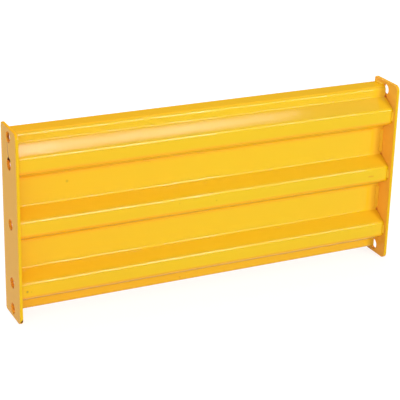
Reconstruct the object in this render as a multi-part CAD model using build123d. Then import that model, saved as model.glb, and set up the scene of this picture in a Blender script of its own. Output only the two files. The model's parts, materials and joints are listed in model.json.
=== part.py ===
from build123d import *
import math
import os

# Bolt-on guard rail: one ribbed steel rail between two end plates, held by fillet welds.
# Millimetres. X runs along the rail, +Y is the back, +Z is up.
# The origin is under the middle of the rail, level with the plates' bottom edges.

# Size of the whole rail
overall_length = 866.0

# End plates
plate_height = 406.4
plate_depth = 91.0
plate_thickness = 6.35
plate_front_corner_radius = 12.7
plate_back_corner_radius = 6.35
plate_edge_break = 0.6

# Holes on the middle line of each plate: one in the middle, and a pair near each end
hole_diameter = 22.2
end_hole_inset = 19.05
bolt_hole_inset = 76.2

# Sheet of the rail
sheet_thickness = 3.04
inside_bend_radius = 4.5
sheet_edge_radius = 0.6

# Section of the rail, measured on its front skin
rail_inset = 12.2
rib_count = 3
edge_web_width = 21.65
rib_depth = 34.5
rib_face_width = 33.0
rib_base_width = 72.0
rib_setback = 10.0
flange_setback = 3.0

# Fillet welds
weld_leg = 4.5
weld_crown = 0.5
weld_end_gap = 1.2
weld_end_slope = 0.5

# Places that follow from the sizes above
plate_inner_x = overall_length / 2 - plate_thickness
front_edge_y = -plate_depth / 2
back_edge_y = plate_depth / 2
middle_z = plate_height / 2
rib_face_y = front_edge_y + rib_setback
web_y = rib_face_y + rib_depth
flange_edge_y = back_edge_y - flange_setback
rail_top_z = plate_height - rail_inset
rail_bottom_z = rail_inset
top_rib_z = rail_top_z - edge_web_width - rib_base_width / 2
bottom_rib_z = rail_bottom_z + edge_web_width + rib_base_width / 2
rib_pitch = (top_rib_z - bottom_rib_z) / (rib_count - 1)
outside_bend_radius = inside_bend_radius + sheet_thickness

# Length that each bend takes from the flat beside it
rib_turn = math.atan2(rib_depth, (rib_base_width - rib_face_width) / 2)
inside_trim = inside_bend_radius * math.tan(rib_turn / 2)
outside_trim = outside_bend_radius * math.tan(rib_turn / 2)


def rib_centres():
    # heights of the ribs, from the top one down
    return [top_rib_z - rib_pitch * i for i in range(rib_count)]


def hole_centres():
    # heights of the holes, from the bottom one up
    lower = [end_hole_inset, bolt_hole_inset]
    upper = [plate_height - inset for inset in reversed(lower)]
    return lower + [middle_z] + upper


def make_rail():
    # the sheet's front skin, from the back edge of the top flange down to the bottom one
    corners = [(flange_edge_y, rail_top_z), (web_y, rail_top_z)]
    radii = [outside_bend_radius]
    for z in rib_centres():
        corners.append((web_y, z + rib_base_width / 2))
        corners.append((rib_face_y, z + rib_face_width / 2))
        corners.append((rib_face_y, z - rib_face_width / 2))
        corners.append((web_y, z - rib_base_width / 2))
        radii += [inside_bend_radius, outside_bend_radius, outside_bend_radius, inside_bend_radius]
    corners += [(web_y, rail_bottom_z), (flange_edge_y, rail_bottom_z)]
    radii.append(outside_bend_radius)
    front_skin = FilletPolyline(*corners, radius=radii)
    section = make_face(offset(front_skin, amount=sheet_thickness, side=Side.LEFT))
    sheared = [v for v in section.vertices() if abs(v.X - flange_edge_y) < sheet_thickness / 2]
    section = fillet(sheared, radius=sheet_edge_radius)
    return extrude(Plane.YZ * section, amount=plate_inner_x, both=True)


def make_end_plate(side):
    # side is -1 for the left plate and 1 for the right one
    outline = Rectangle(plate_depth, plate_height)
    outline = fillet(outline.vertices().group_by(Axis.X)[0], radius=plate_front_corner_radius)
    outline = fillet(outline.vertices().group_by(Axis.X)[-1], radius=plate_back_corner_radius)
    for z in hole_centres():
        outline -= Pos(0, z - middle_z) * Circle(hole_diameter / 2)
    middle_x = side * (plate_inner_x + plate_thickness / 2)
    seat = Plane(origin=(middle_x, 0, middle_z), x_dir=(0, 1, 0), z_dir=(1, 0, 0))
    plate = extrude(seat * outline, amount=plate_thickness / 2, both=True)
    return chamfer(plate.faces().filter_by(Axis.X).edges(), length=plate_edge_break)


def make_weld(side, y, z, outward, length):
    # a fillet weld centred on (y, z) in the corner between a plate and the rail's skin;
    # outward is the direction that the skin faces there
    inward = Vector(-side, 0, 0)
    run = inward.cross(Vector(*outward))
    seat = Plane(origin=(side * plate_inner_x, y, z), x_dir=inward, z_dir=run)
    toe = Line((0, 0), (weld_leg, 0))
    crown = SagittaArc((weld_leg, 0), (0, weld_leg), -weld_crown)
    heel = Line((0, weld_leg), (0, 0))
    bead = extrude(make_face([toe, crown, heel]), amount=length / 2, both=True)
    for end in (-1, 1):
        # each end slopes down into the corner, as a weld's start and stop do
        slope = Plane(origin=(0, 0, end * length / 2), z_dir=(weld_end_slope, weld_end_slope, end))
        bead = split(bead, bisect_by=slope, keep=Keep.BOTTOM)
    return seat * bead


def welded_flats():
    # the flats of the skin that carry a weld, by kind: upper and lower end of each, top to bottom
    half_face = rib_face_width / 2 - outside_trim
    web_margin = rib_base_width / 2 + inside_trim
    centres = rib_centres()
    ribs = [(z + half_face, z - half_face) for z in centres]
    webs = [(above - web_margin, below + web_margin) for above, below in zip(centres, centres[1:])]
    return {"rib": ribs, "web": webs}


def make_welds(side):
    # every weld at one end, by name, numbered from the top
    depth_of = {"rib": rib_face_y, "web": web_y}
    welds = {}
    for kind, flats in welded_flats().items():
        for number, (upper, lower) in enumerate(flats, start=1):
            length = upper - lower - 2 * weld_end_gap
            weld = make_weld(side, depth_of[kind], (upper + lower) / 2, (0, -1, 0), length)
            welds[f"{kind}_weld_{number}"] = weld
    flange_start = web_y + outside_bend_radius
    flange_middle = (flange_start + flange_edge_y) / 2
    flange_length = flange_edge_y - flange_start - 2 * weld_end_gap
    welds["top_flange_weld"] = make_weld(side, flange_middle, rail_top_z, (0, 0, 1), flange_length)
    welds["bottom_flange_weld"] = make_weld(side, flange_middle, rail_bottom_z, (0, 0, -1), flange_length)
    return welds


parts = {"rail": make_rail()}
for name, side in {"left": -1, "right": 1}.items():
    parts[f"{name}_end_plate"] = make_end_plate(side)
    for weld_name, weld in make_welds(side).items():
        parts[f"{name}_{weld_name}"] = weld

os.makedirs("parts", exist_ok=True)
for name, solid in parts.items():
    export_step(solid, f"parts/{name}.step")
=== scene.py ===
import bpy
import bmesh
import json
import math
from mathutils import Matrix, Vector

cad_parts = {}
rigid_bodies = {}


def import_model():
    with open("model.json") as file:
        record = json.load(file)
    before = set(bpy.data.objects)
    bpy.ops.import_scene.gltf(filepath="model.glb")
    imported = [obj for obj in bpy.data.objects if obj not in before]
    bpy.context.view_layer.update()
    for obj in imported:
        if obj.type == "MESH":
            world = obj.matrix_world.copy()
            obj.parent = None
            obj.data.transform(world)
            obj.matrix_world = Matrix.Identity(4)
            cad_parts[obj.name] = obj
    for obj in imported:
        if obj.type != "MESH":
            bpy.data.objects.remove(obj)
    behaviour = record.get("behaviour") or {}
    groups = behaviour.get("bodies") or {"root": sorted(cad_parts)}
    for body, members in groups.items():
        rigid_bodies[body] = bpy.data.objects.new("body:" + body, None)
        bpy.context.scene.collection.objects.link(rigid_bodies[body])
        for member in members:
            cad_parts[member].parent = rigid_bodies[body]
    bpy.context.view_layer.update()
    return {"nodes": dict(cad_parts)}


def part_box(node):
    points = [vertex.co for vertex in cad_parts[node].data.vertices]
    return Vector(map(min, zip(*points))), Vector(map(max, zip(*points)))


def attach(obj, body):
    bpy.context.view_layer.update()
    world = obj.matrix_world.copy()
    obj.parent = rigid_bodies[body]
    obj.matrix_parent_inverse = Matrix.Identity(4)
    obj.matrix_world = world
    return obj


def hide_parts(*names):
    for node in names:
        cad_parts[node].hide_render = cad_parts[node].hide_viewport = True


# Bolt-on guard rail in glossy safety yellow powder coat: a ribbed rail between two end plates.
# Metres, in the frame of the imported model: X along the rail, -Y is the front, +Z is up.

for leftOver in list(bpy.data.objects):
    bpy.data.objects.remove(leftOver)

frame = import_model()
print("frame loaded,", len(frame["nodes"]), "nodes")

mm = 0.001

# Places on the object that the finish follows, read from the frame
railLow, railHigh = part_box("rail")
plateLow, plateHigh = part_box("right_end_plate")
ribWeldBoxes = [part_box("right_rib_weld_%d" % number) for number in (1, 2, 3)]
ribCentres = [(low.z + high.z) / 2 for low, high in ribWeldBoxes]
ribPitch = (ribCentres[0] - ribCentres[2]) / 2
plateInnerX = plateLow.x
ribFaceY = railLow.y
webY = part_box("right_web_weld_1")[1].y


# Node helpers

nodeSpacing = (190, 170)


def addNode(tree, kind, place, **values):
    # a node at a column and row of the tree, with its settings
    node = tree.nodes.new(kind)
    node.location = (place[0] * nodeSpacing[0], -place[1] * nodeSpacing[1])
    for name, value in values.items():
        setattr(node, name, value)
    return node


def feed(tree, node, **sources):
    # joins outputs to a node's inputs, or sets plain values on them
    # an input is given by its name, or by its number as i0, i1, ...
    for name, source in sources.items():
        if name[0] == "i" and name[1:].isdigit():
            socket = node.inputs[int(name[1:])]
        else:
            socket = node.inputs[name.replace("_", " ")]
        if isinstance(source, bpy.types.NodeSocket):
            tree.links.new(source, socket)
        else:
            socket.default_value = source
    return node


def mathNode(tree, operation, place, first, second=0.0, clamp=False):
    node = addNode(tree, "ShaderNodeMath", place, operation=operation, use_clamp=clamp)
    return feed(tree, node, i0=first, i1=second).outputs[0]


def vectorNode(tree, operation, place, first, second=(0, 0, 0)):
    node = addNode(tree, "ShaderNodeVectorMath", place, operation=operation)
    feed(tree, node, i0=first, i1=second)
    return node.outputs["Value" if operation in ("LENGTH", "DOT_PRODUCT", "DISTANCE") else "Vector"]


def rangeNode(tree, place, value, fromLow, fromHigh, toLow=0.0, toHigh=1.0, smooth=True):
    kind = "SMOOTHSTEP" if smooth else "LINEAR"
    node = addNode(tree, "ShaderNodeMapRange", place, interpolation_type=kind)
    feed(tree, node, Value=value, From_Min=fromLow, From_Max=fromHigh, To_Min=toLow, To_Max=toHigh)
    return node.outputs["Result"]


def noiseNode(tree, place, coords, scale, detail=2.0, roughness=0.5):
    node = addNode(tree, "ShaderNodeTexNoise", place)
    feed(tree, node, Vector=coords, Scale=scale, Detail=detail, Roughness=roughness)
    return node.outputs["Fac"]


def mixColours(tree, place, factor, first, second, blend="MIX"):
    # the Mix node has its two colours at inputs 6 and 7, and the mixed colour at output 2
    node = addNode(tree, "ShaderNodeMix", place, data_type="RGBA", blend_type=blend)
    feed(tree, node, i0=factor, i6=first, i7=second)
    return node.outputs[2]


def splitPlace(tree, place, coords):
    return feed(tree, addNode(tree, "ShaderNodeSeparateXYZ", place), Vector=coords).outputs


def startGroup(name, inputs, outputs):
    # a shared effect: its tree, the node with its inputs and the node that takes its outputs
    group = bpy.data.node_groups.new(name, "ShaderNodeTree")
    for label, kind, value in inputs:
        socket = group.interface.new_socket(label, in_out="INPUT", socket_type="NodeSocket" + kind)
        if value is not None:
            socket.default_value = value
    for label, kind in outputs:
        group.interface.new_socket(label, in_out="OUTPUT", socket_type="NodeSocket" + kind)
    return group, addNode(group, "NodeGroupInput", (-6, 0)), addNode(group, "NodeGroupOutput", (8, 0))


# Effects shared by the painted pieces

def buildOrangePeel():
    # the gentle waves that a powder coat sets with, and the finer ripple over them
    group, given, out = startGroup(
        "orangePeel",
        [("Coords", "Vector", None), ("Wave Scale", "Float", 160.0), ("Ripple Scale", "Float", 620.0),
         ("Ripple Share", "Float", 0.3)],
        [("Height", "Float")],
    )
    waves = noiseNode(group, (-4, 0), given.outputs["Coords"], given.outputs["Wave Scale"], detail=1.0)
    ripple = noiseNode(group, (-4, 2), given.outputs["Coords"], given.outputs["Ripple Scale"])
    share = mathNode(group, "MULTIPLY", (-2, 2), ripple, given.outputs["Ripple Share"])
    feed(group, out, Height=mathNode(group, "ADD", (0, 0), waves, share))
    return group


def buildPowderTone():
    # thick and thin places in the coat: broad clouds, and short specks that lie in the film
    group, given, out = startGroup(
        "powderTone",
        [("Coords", "Vector", None), ("Paint", "Color", (0.9, 0.5, 0.02, 1)),
         ("Deep Paint", "Color", (0.8, 0.4, 0.02, 1)), ("Cloud Scale", "Float", 7.0),
         ("Cloud Low", "Float", 0.35), ("Cloud High", "Float", 0.68), ("Cloud Amount", "Float", 0.3),
         ("Speck Scale", "Float", 260.0), ("Speck Low", "Float", 0.60), ("Speck High", "Float", 0.74),
         ("Speck Amount", "Float", 0.2)],
        [("Colour", "Color"), ("Clouds", "Float")],
    )
    clouds = noiseNode(group, (-4, 0), given.outputs["Coords"], given.outputs["Cloud Scale"], detail=3.0)
    broad = rangeNode(group, (-2, 0), clouds, given.outputs["Cloud Low"], given.outputs["Cloud High"])
    specks = noiseNode(group, (-4, 2), given.outputs["Coords"], given.outputs["Speck Scale"], detail=1.0)
    fine = rangeNode(group, (-2, 2), specks, given.outputs["Speck Low"], given.outputs["Speck High"])
    broadShare = mathNode(group, "MULTIPLY", (0, 0), broad, given.outputs["Cloud Amount"])
    fineShare = mathNode(group, "MULTIPLY", (0, 2), fine, given.outputs["Speck Amount"])
    share = mathNode(group, "ADD", (2, 1), broadShare, fineShare, clamp=True)
    colour = mixColours(group, (4, 0), share, given.outputs["Paint"], given.outputs["Deep Paint"])
    feed(group, out, Colour=colour, Clouds=broad)
    return group


def buildStroke():
    # mask of a stroke from one place to another, with a ragged edge; both ends the same makes a spot
    group, given, out = startGroup(
        "strokeMark",
        [("Coords", "Vector", None), ("Start", "Vector", (0, 0, 0)), ("End", "Vector", (0, 0, 0)),
         ("Width", "Float", 0.001), ("Softness", "Float", 0.001), ("Raggedness", "Float", 0.0005),
         ("Grain", "Float", 900.0), ("Strength", "Float", 1.0)],
        [("Mask", "Float")],
    )
    span = vectorNode(group, "SUBTRACT", (-4, 0), given.outputs["End"], given.outputs["Start"])
    offset = vectorNode(group, "SUBTRACT", (-4, 1), given.outputs["Coords"], given.outputs["Start"])
    along = vectorNode(group, "DOT_PRODUCT", (-3, 0), offset, span)
    squared = vectorNode(group, "DOT_PRODUCT", (-3, 1), span, span)
    # a spot has no span, so its square is kept off zero
    squaredSafe = mathNode(group, "MAXIMUM", (-2, 1), squared, 1e-9)
    share = mathNode(group, "DIVIDE", (-1, 0), along, squaredSafe, clamp=True)
    scale = addNode(group, "ShaderNodeVectorMath", (0, 0), operation="SCALE")
    feed(group, scale, i0=span, Scale=share)
    reach = vectorNode(group, "DISTANCE", (1, 0), offset, scale.outputs[0])
    noise = noiseNode(group, (0, 2), given.outputs["Coords"], given.outputs["Grain"])
    centred = mathNode(group, "SUBTRACT", (1, 2), noise, 0.5)
    ragged = mathNode(group, "MULTIPLY", (2, 2), centred, given.outputs["Raggedness"])
    distance = mathNode(group, "ADD", (3, 0), reach, ragged)
    outer = mathNode(group, "ADD", (3, 2), given.outputs["Width"], given.outputs["Softness"])
    mask = rangeNode(group, (5, 0), distance, given.outputs["Width"], outer, 1.0, 0.0)
    feed(group, out, Mask=mathNode(group, "MULTIPLY", (6, 0), mask, given.outputs["Strength"]))
    return group


def buildFoldedCoords():
    # every rib end brought to one place: the right end, measured from the rib's middle
    group, given, out = startGroup(
        "foldedCoords",
        [("Coords", "Vector", None), ("Rib Height", "Float", 0.2), ("Rib Pitch", "Float", 0.13)],
        [("Folded", "Vector"), ("Top Rib", "Float")],
    )
    parts = splitPlace(group, (-4, 0), given.outputs["Coords"])
    side = mathNode(group, "ABSOLUTE", (-2, 0), parts["X"])
    height = mathNode(group, "SUBTRACT", (-3, 2), parts["Z"], given.outputs["Rib Height"])
    halfPitch = mathNode(group, "MULTIPLY", (-2, 3), given.outputs["Rib Pitch"], 0.5)
    lowest = mathNode(group, "MULTIPLY", (-2, 4), halfPitch, -1.0)
    wrap = addNode(group, "ShaderNodeMath", (-1, 2), operation="WRAP")
    feed(group, wrap, i0=height, i1=halfPitch, i2=lowest)
    together = addNode(group, "ShaderNodeCombineXYZ", (2, 0))
    feed(group, together, X=side, Y=parts["Y"], Z=wrap.outputs[0])
    topRib = mathNode(group, "GREATER_THAN", (2, 3), height, halfPitch)
    feed(group, out, Folded=together.outputs["Vector"], Top_Rib=topRib)
    return group


def buildRibLightAndShadeZones():
    # masks of painted light and shade around the ribs: Under is the slope below each rib, Edge the
    #     # flats beside that slope and the lowest web, and Corner the right ends of the webs, in the
    #     right
    #     # plate's shadow
    group, given, out = startGroup(
        "ribLightAndShadeZones",
        [("Coords", "Vector", None), ("Folded", "Vector", None), ("Under Start", "Float", -0.012),
         ("Edge Start", "Float", -0.008), ("Edge Full", "Float", -0.017), ("Edge Fade", "Float", -0.032),
         ("Edge End", "Float", -0.047), ("Corner Start", "Float", 0.392), ("Corner Full", "Float", 0.414),
         ("Depth Start", "Float", -0.024), ("Depth Full", "Float", -0.014), ("Low Full", "Float", 0.030),
         ("Low Start", "Float", 0.036), ("Low Share", "Float", 0.65)],
        [("Under", "Float"), ("Edge", "Float"), ("Corner", "Float")],
    )

    def ramp(row, value, start, end, low, high):
        return rangeNode(group, (-2, row), value, given.outputs[start], given.outputs[end], low, high)

    plain = splitPlace(group, (-4, 0), given.outputs["Coords"])
    height = splitPlace(group, (-4, 2), given.outputs["Folded"])["Z"]
    under = ramp(0, height, "Edge Full", "Under Start", 1.0, 0.0)
    upper = ramp(1, height, "Edge Full", "Edge Start", 1.0, 0.0)
    lower = ramp(2, height, "Edge End", "Edge Fade", 0.0, 1.0)
    across = ramp(3, plain["X"], "Corner Start", "Corner Full", 0.0, 1.0)
    deep = ramp(4, plain["Y"], "Depth Start", "Depth Full", 0.0, 1.0)
    low = ramp(5, plain["Z"], "Low Full", "Low Start", given.outputs["Low Share"], 0.0)
    beside = mathNode(group, "MULTIPLY", (0, 1), upper, lower)
    edge = mathNode(group, "MAXIMUM", (1, 1), beside, low)
    corner = mathNode(group, "MULTIPLY", (0, 3), across, deep)
    feed(group, out, Under=under, Edge=edge, Corner=corner)
    return group


def buildFlatShare():
    # 1 on the flats that face the front, 0 on slopes, flanges and backs
    group, given, out = startGroup(
        "flatShare",
        [("Coords", "Vector", None), ("Face Y", "Float", 0.0), ("Web Y", "Float", 0.0),
         ("Blend", "Float", 0.002), ("Full Share", "Float", 0.3)],
        [("Share", "Float")],
    )
    depth = splitPlace(group, (-4, 0), given.outputs["Coords"])["Y"]
    blend = given.outputs["Blend"]
    near = mathNode(group, "MULTIPLY", (-1, 3), blend, given.outputs["Full Share"])
    shares = []
    for row, label in enumerate(("Face Y", "Web Y")):
        offset = mathNode(group, "SUBTRACT", (-2, row), depth, given.outputs[label])
        away = mathNode(group, "ABSOLUTE", (-1, row), offset)
        shares.append(rangeNode(group, (1, row), away, near, blend, 1.0, 0.0))
    feed(group, out, Share=mathNode(group, "MAXIMUM", (3, 0), shares[0], shares[1]))
    return group


orangePeel = buildOrangePeel()
powderTone = buildPowderTone()
strokeMark = buildStroke()
foldedCoords = buildFoldedCoords()
ribLightAndShadeZones = buildRibLightAndShadeZones()
flatShare = buildFlatShare()
print("shared effects built")


# Finishes

# The rail's coat; the plates and the welds below differ from it in a few values
paintValues = {
    # the flats lie at two depths, and past the blend the paint is that of the slopes, a more orange copy
    # of
    #     # the coat: painted shade where the slopes take less light
    "flatPaint": (0.830, 0.540, 0.0025, 1),
    "slopePaint": (0.850, 0.510, 0.0180, 1),
    "faceY": ribFaceY,
    "webY": webY,
    "blend": 2.4 * mm,
    # far out along this axis the slopes' paint turns into that of the flanges, a brighter, redder copy of
    #     # the coat: painted light on the flanges
    "turnAxis": "Z",
    "turnStart": 391.0 * mm,
    "turnEnd": 394.0 * mm,
    "turnedPaint": (0.985, 0.545, 0.0060, 1),
    # clouds and specks where the coat lies thicker
    "deepPaint": (0.900, 0.480, 0.0070, 1),
    "cloudScale": 7.0,
    "cloudAmount": 0.15,
    "speckAmount": 0.08,
    # gloss and skin
    "roughness": 0.055,
    "roughnessSpread": 0.015,
    "specular": 0.29,
    "peelDepth": 0.014 * mm,
    "waveScale": 170.0,
    # lines and dark marks, and how much duller the coat is under the marks
    "lineColour": (0.67, 0.100, 0.004, 1),
    "markColour": (0.10, 0.022, 0.004, 1),
    "markDulling": 0.8,
    # painted shade: a warmer, darker tint toward the left end, full at the first place and gone at the
    # second
    "leftShadeFull": -430.0 * mm,
    "leftShadeEnd": 100.0 * mm,
    "leftShadeTint": (1.0, 0.915, 1.0, 1),
}

# Painted light and shade on the rail by the masks of the rib zones: brighter on the slopes under the
# # ribs and at the webs' right ends, darker and more orange on the flats beside those slopes and low down
zoneLightAndShadePaints = {
    "Under": (0.985, 0.570, 0.0150, 1),
    "Edge": (0.880, 0.430, 0.0060, 1),
    "Corner": (1.000, 0.615, 0.0450, 1),
}

# The bare joint along each rib's upper side; its heights count from the rib's middle
jointValues = {
    "slantTop": (plateInnerX, webY, 36.0 * mm),
    "slantBottom": (plateInnerX, ribFaceY, 16.5 * mm),
    "lineWidth": 0.7 * mm,
    "lineSoftness": 1.8 * mm,
    "lineRaggedness": 0.6 * mm,
    "lineStrength": 0.62,
    "faceShare": 0.25,
    "pit": (plateInnerX, webY - 2.0 * mm, 35.0 * mm),
    "pitWidth": 2.2 * mm,
    "pitSoftness": 2.4 * mm,
    "pitRaggedness": 0.8 * mm,
    "pitStrength": 0.95,
    "lowerShare": 0.70,
    "shadeColour": (0.62, 0.115, 0.014, 1),
}

# Marks on the rail in millimetres: place, width, softness, strength
railMarks = {
    "webSpeck": ((-313.8, -1.0, 279.6), 0.9, 3.4, 0.26),
    "lowerRibSpeck": ((-413.1, -35.5, 68.2), 1.2, 2.4, 0.45),
    "lowerRibFleck": ((-404.8, -35.5, 66.7), 0.4, 1.4, 0.24),
    "middleRibSpeck": ((3.9, -35.5, 202.6), 0.7, 1.8, 0.20),
    "middleRibFleck": ((-80.8, -35.5, 208.6), 0.6, 1.6, 0.16),
    "lowerWebSpeck": ((-61.2, -1.0, 22.7), 0.8, 1.8, 0.24),
}

# Lines and strokes in millimetres: start, end, width, softness, strength
railStrokes = {
    "ribScuff": ((377.5, -35.5, 202.2), (388.0, -35.5, 201.7), 0.6, 2.0, 0.36),
}

plateLines = {
    "hookLineUpper": ((-433.0, 6.9, 374.0), (-433.0, 4.4, 357.4), 0.8, 1.0, 0.85),
    "hookLineLower": ((-433.0, 4.4, 357.4), (-433.0, -0.5, 344.0), 1.1, 1.0, 1.0),
}

plateStrokes = {
    "hookScar": ((-433.0, 0.0, 343.6), (-433.0, -8.0, 341.0), 2.4, 1.0, 1.0),
    "hookScarInside": ((-433.0, 3.0, 341.4), (-429.0, 8.2, 338.4), 2.4, 1.2, 1.0),
    # the stroke inside the top hole is painted shade on its wall
    "topHoleShade": ((-429.0, 8.6, 391.0), (-429.0, 10.2, 382.0), 1.4, 2.0, 0.6),
    "cornerChip": ((-430.5, -45.0, 6.6), (-427.2, -45.0, 10.6), 1.4, 1.6, 0.95),
}

# Painted shade inside the bolt holes: their walls take a deeper orange; millimetres
holeShadeValues = {
    "heights": (19.05, 76.2, 203.2, 330.2, 387.35),
    "pastPlate": 1.0,
    "radius": 11.2,
    "softness": 0.3,
    "colour": (0.690, 0.205, 0.0350, 1),
}


def placeGroup(tree, group, place, **values):
    node = addNode(tree, "ShaderNodeGroup", place, node_tree=group)
    return feed(tree, node, **values)


def strokeMasks(tree, coords, strokes, column):
    # the strongest of several strokes at each point
    strongest = None
    for row, (start, end, width, softness, strength) in enumerate(strokes):
        node = placeGroup(
            tree, strokeMark, (column, row), Coords=coords,
            Start=[mm * part for part in start], End=[mm * part for part in end],
            Width=width * mm, Softness=softness * mm, Raggedness=width * mm, Strength=strength,
        )
        mask = node.outputs["Mask"]
        if strongest is None:
            strongest = mask
        else:
            strongest = mathNode(tree, "MAXIMUM", (column + 1, row), strongest, mask)
    return strongest


def placeFold(tree, place, coords):
    return placeGroup(
        tree, foldedCoords, place, Coords=coords, Rib_Height=ribCentres[1], Rib_Pitch=ribPitch,
    )


def jointShade(tree, coords, column, values):
    # a shaded line down each bare joint, with a pit at its top, strongest at the top rib
    fold = placeFold(tree, (column, 8), coords)
    folded = fold.outputs["Folded"]
    topRib = fold.outputs["Top Rib"]
    topShare = rangeNode(tree, (column + 1, 12), topRib, 0.0, 1.0, values["lowerShare"], 1.0)
    depth = splitPlace(tree, (column + 1, 6), folded)["Y"]
    faceShare = values["faceShare"]
    depthShare = rangeNode(tree, (column + 2, 6), depth, ribFaceY, webY, faceShare, 1.0, smooth=False)
    line = placeGroup(
        tree, strokeMark, (column + 1, 8), Coords=folded,
        Start=values["slantTop"], End=values["slantBottom"], Width=values["lineWidth"],
        Softness=values["lineSoftness"], Raggedness=values["lineRaggedness"],
        Strength=values["lineStrength"],
    )
    pit = placeGroup(
        tree, strokeMark, (column + 1, 10), Coords=folded,
        Start=values["pit"], End=values["pit"], Width=values["pitWidth"],
        Softness=values["pitSoftness"], Raggedness=values["pitRaggedness"],
        Strength=values["pitStrength"],
    )
    fading = mathNode(tree, "MULTIPLY", (column + 3, 6), line.outputs["Mask"], depthShare)
    strongest = mathNode(tree, "MAXIMUM", (column + 3, 8), fading, pit.outputs["Mask"])
    return mathNode(tree, "MULTIPLY", (column + 4, 8), strongest, topShare)


def startMaterial(name):
    material = bpy.data.materials.new(name)
    material.use_nodes = True
    tree = material.node_tree
    tree.nodes.clear()
    output = addNode(tree, "ShaderNodeOutputMaterial", (8, 0))
    shader = addNode(tree, "ShaderNodeBsdfPrincipled", (6, 0))
    tree.links.new(shader.outputs["BSDF"], output.inputs["Surface"])
    coords = addNode(tree, "ShaderNodeTexCoord", (-10, 0)).outputs["Object"]
    return material, tree, shader, coords


def zonedLightAndShade(tree, coords, slopePaint, flatPaint):
    # the two paints of the rail with the painted light and shade of the zones around its ribs laid over
    # them
    fold = placeFold(tree, (-12, 3), coords)
    zones = placeGroup(tree, ribLightAndShadeZones, (-10, 3), Coords=coords, Folded=fold.outputs["Folded"])
    slope = mixColours(tree, (-5, 3), zones.outputs["Under"], slopePaint, zoneLightAndShadePaints["Under"])
    edged = mixColours(tree, (-6, 4), zones.outputs["Edge"], flatPaint, zoneLightAndShadePaints["Edge"])
    flat = mixColours(tree, (-5, 4), zones.outputs["Corner"], edged, zoneLightAndShadePaints["Corner"])
    return slope, flat


def leftEndShade(tree, coords, paint, values):
    # painted shade: the coat turns a little warmer and darker toward the left end
    across = splitPlace(tree, (-6, 7), coords)["X"]
    share = rangeNode(tree, (-5, 7), across, values["leftShadeFull"], values["leftShadeEnd"], 1.0, 0.0)
    return mixColours(tree, (-3, 5), share, paint, values["leftShadeTint"], blend="MULTIPLY")


def basePaint(tree, coords, values, zones):
    # one paint on the flats, one on the slopes, and a third beyond the turn: lit and shaded copies of one
    #     # coat, painted light and shade by how each face meets the light
    flats = placeGroup(
        tree, flatShare, (-5, 0), Coords=coords,
        Face_Y=values["faceY"], Web_Y=values["webY"], Blend=values["blend"],
    )
    parts = splitPlace(tree, (-8, 0), coords)
    place = mathNode(tree, "ABSOLUTE", (-7, 0), parts[values["turnAxis"]])
    turned = rangeNode(tree, (-6, 0), place, values["turnStart"], values["turnEnd"])
    slopePaint = mixColours(tree, (-5, 1), turned, values["slopePaint"], values["turnedPaint"])
    flatPaint = values["flatPaint"]
    if zones:
        slopePaint, flatPaint = zonedLightAndShade(tree, coords, slopePaint, flatPaint)
    paint = mixColours(tree, (-4, 0), flats.outputs["Share"], slopePaint, flatPaint)
    return leftEndShade(tree, coords, paint, values) if zones else paint


def paintedMaterial(name, values, zones=False, joints=False, holes=(), lines=(), marks=()):
    material, tree, shader, coords = startMaterial(name)
    tone = placeGroup(
        tree, powderTone, (-2, 0), Coords=coords, Paint=basePaint(tree, coords, values, zones),
        Deep_Paint=values["deepPaint"], Cloud_Scale=values["cloudScale"],
        Cloud_Amount=values["cloudAmount"], Speck_Amount=values["speckAmount"],
    )
    colour = tone.outputs["Colour"]
    low = values["roughness"] - values["roughnessSpread"] / 2
    high = values["roughness"] + values["roughnessSpread"] / 2
    roughness = rangeNode(tree, (0, 2), tone.outputs["Clouds"], 0.0, 1.0, low, high, smooth=False)
    masks = []
    # the deeper orange in the bolt holes is painted shade
    if holes:
        masks.append((strokeMasks(tree, coords, holes, -14), holeShadeValues["colour"]))
    if joints:
        masks.append((jointShade(tree, coords, -8, jointValues), jointValues["shadeColour"]))
    if lines:
        masks.append((strokeMasks(tree, coords, lines, -17), values["lineColour"]))
    if marks:
        masks.append((strokeMasks(tree, coords, marks, -11), values["markColour"]))
    for row, (mask, maskColour) in enumerate(masks):
        colour = mixColours(tree, (1 + row, 0), mask, colour, maskColour)
    if marks:
        dulling = mathNode(tree, "MULTIPLY", (1, 3), masks[-1][0], values["markDulling"])
        roughness = mathNode(tree, "ADD", (2, 3), roughness, dulling)
    peel = placeGroup(tree, orangePeel, (-2, 5), Coords=coords, Wave_Scale=values["waveScale"])
    bump = addNode(tree, "ShaderNodeBump", (4, 4))
    feed(tree, bump, Height=peel.outputs["Height"], Distance=values["peelDepth"], Strength=1.0)
    feed(tree, shader, Base_Color=colour, Roughness=roughness, Normal=bump.outputs["Normal"])
    feed(tree, shader, Specular_IOR_Level=values["specular"])
    return material


def spotRows(marks):
    # a spot is a stroke that ends where it starts
    return [(place, place, *rest) for place, *rest in marks.values()]


def holeShadeRows(values):
    # one row of painted shade for each hole line, from plate to plate
    reach = plateHigh.x / mm + values["pastPlate"]
    ends = [((-reach, 0, height), (reach, 0, height)) for height in values["heights"]]
    return [(start, end, values["radius"], values["softness"], 1.0) for start, end in ends]


# On the plates the slopes' paint is that of the inner side, and it turns into that of the outer side;
# # these are lit and shaded copies of one coat, painted light and shade, redder on both sides than on the
# edges
plateValues = {
    **paintValues,
    "flatPaint": (0.810, 0.505, 0.0100, 1),
    "slopePaint": (1.000, 0.505, 0.0600, 1),
    "faceY": plateLow.y,
    "webY": plateLow.y,
    "blend": 1.2 * mm,
    "turnAxis": "X",
    "turnStart": plateInnerX + 0.3 * mm,
    "turnEnd": plateInnerX + 2.0 * mm,
    "turnedPaint": (1.000, 0.490, 0.0070, 1),
    "deepPaint": (0.950, 0.430, 0.0300, 1),
    "specular": 0.045,
    "lineColour": (0.360, 0.090, 0.0080, 1),
}

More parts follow.
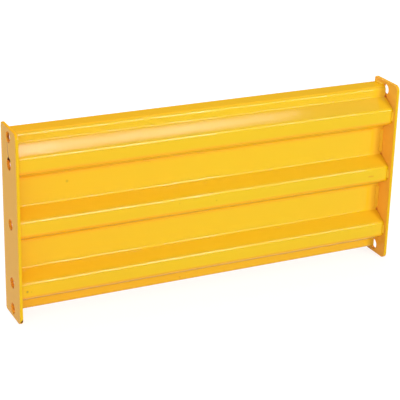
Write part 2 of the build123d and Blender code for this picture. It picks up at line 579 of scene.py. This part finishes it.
# painted light: the beads carry a brighter, redder copy of the coat in place of light in the corners
weldValues = {
    **paintValues,
    "flatPaint": (1.000, 0.560, 0.0300, 1),
    "slopePaint": (1.000, 0.560, 0.0300, 1),
    "cloudAmount": 0.30,
    "roughness": 0.25,
    "specular": 0.10,
    "peelDepth": 0.05 * mm,
}

# painted shade: the flange beads carry a darker copy of the flange coat
flangeWeldValues = {
    **weldValues,
    "flatPaint": (0.880, 0.460, 0.0080, 1),
    "slopePaint": (0.880, 0.460, 0.0080, 1),
    "turnedPaint": (0.880, 0.460, 0.0080, 1),
    "specular": 0.02,
}

railPaint = paintedMaterial(
    "railPaint", paintValues, zones=True, joints=True,
    lines=list(railStrokes.values()), marks=spotRows(railMarks),
)
platePaint = paintedMaterial(
    "platePaint", plateValues, joints=True, holes=holeShadeRows(holeShadeValues),
    lines=list(plateLines.values()), marks=list(plateStrokes.values()),
)
weldPaint = paintedMaterial("weldPaint", weldValues)
flangeWeldPaint = paintedMaterial("flangeWeldPaint", flangeWeldValues)

for nodeName, node in frame["nodes"].items():
    node.data.materials[0] = platePaint if nodeName.endswith("plate") else railPaint
print("finishes placed")


# Weld beads

beadValues = {
    "plateLeg": 4.5 * mm,
    "ribReach": 4.5 * mm,
    "webReach": 6.6 * mm,
    "crown": 0.7 * mm,
    "crownSteps": 8,
    "ripplePitch": 2.1 * mm,
    "stepsPerRipple": 6,
    "leastSteps": 8,
    "rippleHeight": 0.16 * mm,
    "rippleLag": 0.9 * mm,
    "endLength": 3.0 * mm,
    "endThickness": 0.15,
    "wander": 0.22 * mm,
    "wanderWave": 7.0 * mm,
}


def beadFrame(name):
    # a weld node's corner line: its middle, its run, the way off the plate and the way out of the skin
    low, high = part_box(name)
    side = 1 if high.x > 0 else -1
    middle = (low + high) / 2
    away = Vector((-side, 0, 0))
    if "flange" in name:
        up = 1 if middle.z > plateHigh.z / 2 else -1
        out = Vector((0, 0, up))
        run = Vector((0, 1, 0))
        length = high.y - low.y
        skin = low.z if up > 0 else high.z
        corner = Vector((side * plateInnerX, middle.y, skin))
    else:
        out = Vector((0, -1, 0))
        run = Vector((0, 0, 1))
        length = high.z - low.z
        corner = Vector((side * plateInnerX, high.y, middle.z))
    return corner, run, away, out, length


def beadSection(bm, corner, away, out, reach, leg, crown, steps):
    # root, then from the toe on the rail over a rounded crown to the toe on the plate
    points = [(0, 0)]
    face = math.hypot(reach, leg)
    for step in range(steps + 1):
        share = step / steps
        bulge = crown * 4 * share * (1 - share) / face
        points.append((reach * (1 - share) + bulge * leg, leg * share + bulge * reach))
    verts = [bm.verts.new(corner + away * across + out * up) for across, up in points]
    return bm.faces.new(verts)


def makeBead(name, values):
    corner, run, away, out, length = beadFrame(name)
    bm = bmesh.new()
    start = corner - run * length / 2
    leg = values["plateLeg"]
    reach = values["webReach"] if "web" in name else values["ribReach"]
    face = beadSection(bm, start, away, out, reach, leg, values["crown"], values["crownSteps"])
    steps = max(values["leastSteps"], round(length / values["ripplePitch"] * values["stepsPerRipple"]))
    bmesh.ops.spin(bm, geom=[face], cent=start, axis=run, dvec=run * length / steps, angle=0, steps=steps)
    seed = sum(ord(letter) for letter in name)
    for vert in bm.verts:
        offset = vert.co - start
        along = offset.dot(run)
        across = offset.dot(away)
        up = offset.dot(out)
        # 1 at the middle of the crown, 0 at both toes and at the root
        onCrown = across / reach + up / leg > 0.5
        balance = max(0.0, 1 - abs(across / reach - up / leg)) if onCrown else 0
        # the crown lags behind the toes, which bends each ripple into a crescent
        phase = 2 * math.pi * (along + values["rippleLag"] * balance) / values["ripplePitch"]
        ripple = values["rippleHeight"] * (abs(math.sin(phase / 2 + seed)) - 0.5)
        drift = values["wander"] * math.sin(along / values["wanderWave"] + seed) * balance
        toEnd = min(along, length - along) / values["endLength"]
        rounding = math.sqrt(max(0.0, 1 - (1 - min(1.0, toEnd)) ** 2))
        taper = rounding * (1 - values["endThickness"]) + values["endThickness"]
        grow = taper * (1 + (ripple + drift) * balance / leg)
        vert.co = start + run * along + (away * across + out * up) * grow
    bmesh.ops.recalc_face_normals(bm, faces=bm.faces)
    mesh = bpy.data.meshes.new(name.replace("weld", "bead"))
    bm.to_mesh(mesh)
    bm.free()
    mesh.polygons.foreach_set("use_smooth", [True] * len(mesh.polygons))
    mesh.materials.append(flangeWeldPaint if "flange" in name else weldPaint)
    bead = bpy.data.objects.new(mesh.name, mesh)
    bpy.context.scene.collection.objects.link(bead)
    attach(bead, "root")
    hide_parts(name)
    return bead


weldNames = sorted(name for name in frame["nodes"] if "weld" in name)
beads = [makeBead(name, beadValues) for name in weldNames]
print("weld beads made:", len(beads))


# Floor

# What the camera and the coat see is a steady glow with a little shadow; all else is lit by plain paper
floorValues = {
    "size": 60.0,
    "below": 0.2 * mm,
    "colour": (0.65, 0.65, 0.65, 1),
    "seenDiffuse": (0.30, 0.30, 0.30, 1),
    "glowNear": 0.82,
    "glowFar": 0.84,
    "fadeStart": 0.9,
    "fadeEnd": 2.2,
}


def makeFloor(values):
    bm = bmesh.new()
    bmesh.ops.create_grid(bm, x_segments=1, y_segments=1, size=values["size"] / 2)
    bmesh.ops.translate(bm, verts=bm.verts, vec=(0, 0, -values["below"]))
    mesh = bpy.data.meshes.new("floor")
    bm.to_mesh(mesh)
    bm.free()
    floor = bpy.data.objects.new("floor", mesh)
    bpy.context.scene.collection.objects.link(floor)
    material = bpy.data.materials.new("floorPaper")
    material.use_nodes = True
    tree = material.node_tree
    tree.nodes.clear()
    output = addNode(tree, "ShaderNodeOutputMaterial", (6, 0))
    coords = addNode(tree, "ShaderNodeTexCoord", (-6, 0)).outputs["Object"]
    reach = vectorNode(tree, "LENGTH", (-4, 0), coords)
    near, far = values["glowNear"], values["glowFar"]
    glow = rangeNode(tree, (-2, 0), reach, values["fadeStart"], values["fadeEnd"], near, far)
    plain = addNode(tree, "ShaderNodeBsdfDiffuse", (0, 2))
    feed(tree, plain, Color=values["colour"])
    shadowed = addNode(tree, "ShaderNodeBsdfDiffuse", (0, 1))
    feed(tree, shadowed, Color=values["seenDiffuse"])
    lit = addNode(tree, "ShaderNodeEmission", (0, 0))
    feed(tree, lit, Strength=glow)
    seen = addNode(tree, "ShaderNodeAddShader", (2, 0))
    feed(tree, seen, i0=lit.outputs[0], i1=shadowed.outputs[0])
    path = addNode(tree, "ShaderNodeLightPath", (-2, 3))
    direct = mathNode(tree, "ADD", (0, 4), path.outputs["Is Camera Ray"], path.outputs["Is Glossy Ray"])
    anySeen = mathNode(tree, "ADD", (1, 4), direct, path.outputs["Is Transmission Ray"], clamp=True)
    choose = addNode(tree, "ShaderNodeMixShader", (4, 0))
    feed(tree, choose, i0=anySeen, i1=plain.outputs[0], i2=seen.outputs[0])
    tree.links.new(choose.outputs[0], output.inputs["Surface"])
    mesh.materials.append(material)


makeFloor(floorValues)


# Light

railMiddle = (0.0, 0.0, 0.2)

# Place, point aimed at, width and height, and how bright the lamp itself looks
lampValues = {
    # far off on the right in front: their reflections are the thin bright lines along the bends
    "leftBox": ((3.65, -10.0, 3.3), railMiddle, (2.1, 1.6), 37.0),
    "rightBox": ((5.85, -10.0, 3.6), railMiddle, (2.3, 1.6), 17.5),
    # nearer, for the slopes and the top
    "highBox": ((2.08, -3.2, 2.30), railMiddle, (0.9, 0.6), 4.0),
    # on the left: they open the shadows that the right plate throws and light the left plate
    "fillBox": ((-3.2, -5.9, 2.9), railMiddle, (3.2, 2.4), 5.9),
    "sideBox": ((-3.0, -1.6, 1.0), railMiddle, (1.2, 1.2), 2.8),
    # overhead: their reflection is the pale band along the top rib, and it fades out on the right
    "farTube": ((0.51, 0.277, 2.02), (0.51, 0.277, 0.0), (1.33, 0.024), 2.7),
    "longTube": ((0.49, 0.277, 2.0), (0.49, 0.277, 0.0), (1.26, 0.024), 6.3),
    "shortTube": ((0.15, 0.277, 2.0), (0.15, 0.277, 0.0), (0.42, 0.024), 27.0),
    # behind: lights the back and the top flange
    "backBox": ((-0.3, 2.4, 1.9), railMiddle, (1.4, 1.4), 8.6),
}

worldValues = {
    "low": 0.15,
    "high": 0.76,
    "fadeStart": 0.55,
    "fadeEnd": 0.70,
}


def makeLamp(name, place, aim, size, radiance):
    lamp = bpy.data.lights.new(name, "AREA")
    lamp.shape = "ELLIPSE" if name.endswith("Tube") else "RECTANGLE"
    lamp.size, lamp.size_y = size
    fill = math.pi / 4 if lamp.shape == "ELLIPSE" else 1.0
    lamp.energy = radiance * lamp.size * lamp.size_y * fill * math.pi
    holder = bpy.data.objects.new(name, lamp)
    bpy.context.scene.collection.objects.link(holder)
    facing = (Vector(aim) - Vector(place)).to_track_quat("-Z", "Y").to_matrix().to_4x4()
    holder.matrix_world = Matrix.Translation(place) @ facing
    holder.visible_camera = False


def makeWorld(values):
    # dim around, paler overhead
    world = bpy.data.worlds.new("studio")
    bpy.context.scene.world = world
    world.use_nodes = True
    tree = world.node_tree
    tree.nodes.clear()
    output = addNode(tree, "ShaderNodeOutputWorld", (4, 0))
    background = addNode(tree, "ShaderNodeBackground", (2, 0))
    coords = addNode(tree, "ShaderNodeTexCoord", (-4, 0)).outputs["Generated"]
    up = splitPlace(tree, (-2, 0), coords)["Z"]
    low, high = values["low"], values["high"]
    strength = rangeNode(tree, (0, 0), up, values["fadeStart"], values["fadeEnd"], low, high)
    feed(tree, background, Strength=strength)
    tree.links.new(background.outputs[0], output.inputs["Surface"])


for lampName, (lampPlace, lampAim, lampSize, lampRadiance) in lampValues.items():
    makeLamp(lampName, lampPlace, lampAim, lampSize, lampRadiance)
makeWorld(worldValues)
print("floor and light ready")


# Camera

cameraValues = {
    "place": (-1.1793, -2.3838, 1.2655),
    "headingDegrees": -26.035,
    "tiltDegrees": 21.999,
    "rollDegrees": 1.520,
    "lens": 122.21,
    "sensor": 36.0,
    "shift": (-0.00275, -0.00068),
}


def makeCamera(values):
    camera = bpy.data.cameras.new("camera")
    camera.lens = values["lens"]
    camera.sensor_width = values["sensor"]
    camera.shift_x, camera.shift_y = values["shift"]
    heading = Matrix.Rotation(math.radians(values["headingDegrees"]), 4, "Z")
    tilt = Matrix.Rotation(math.radians(90 - values["tiltDegrees"]), 4, "X")
    roll = Matrix.Rotation(math.radians(values["rollDegrees"]), 4, "Z")
    holder = bpy.data.objects.new("camera", camera)
    bpy.context.scene.collection.objects.link(holder)
    holder.matrix_world = Matrix.Translation(values["place"]) @ heading @ tilt @ roll
    bpy.context.scene.camera = holder


makeCamera(cameraValues)
bpy.context.scene.view_settings.view_transform = "Standard"
print("camera set")
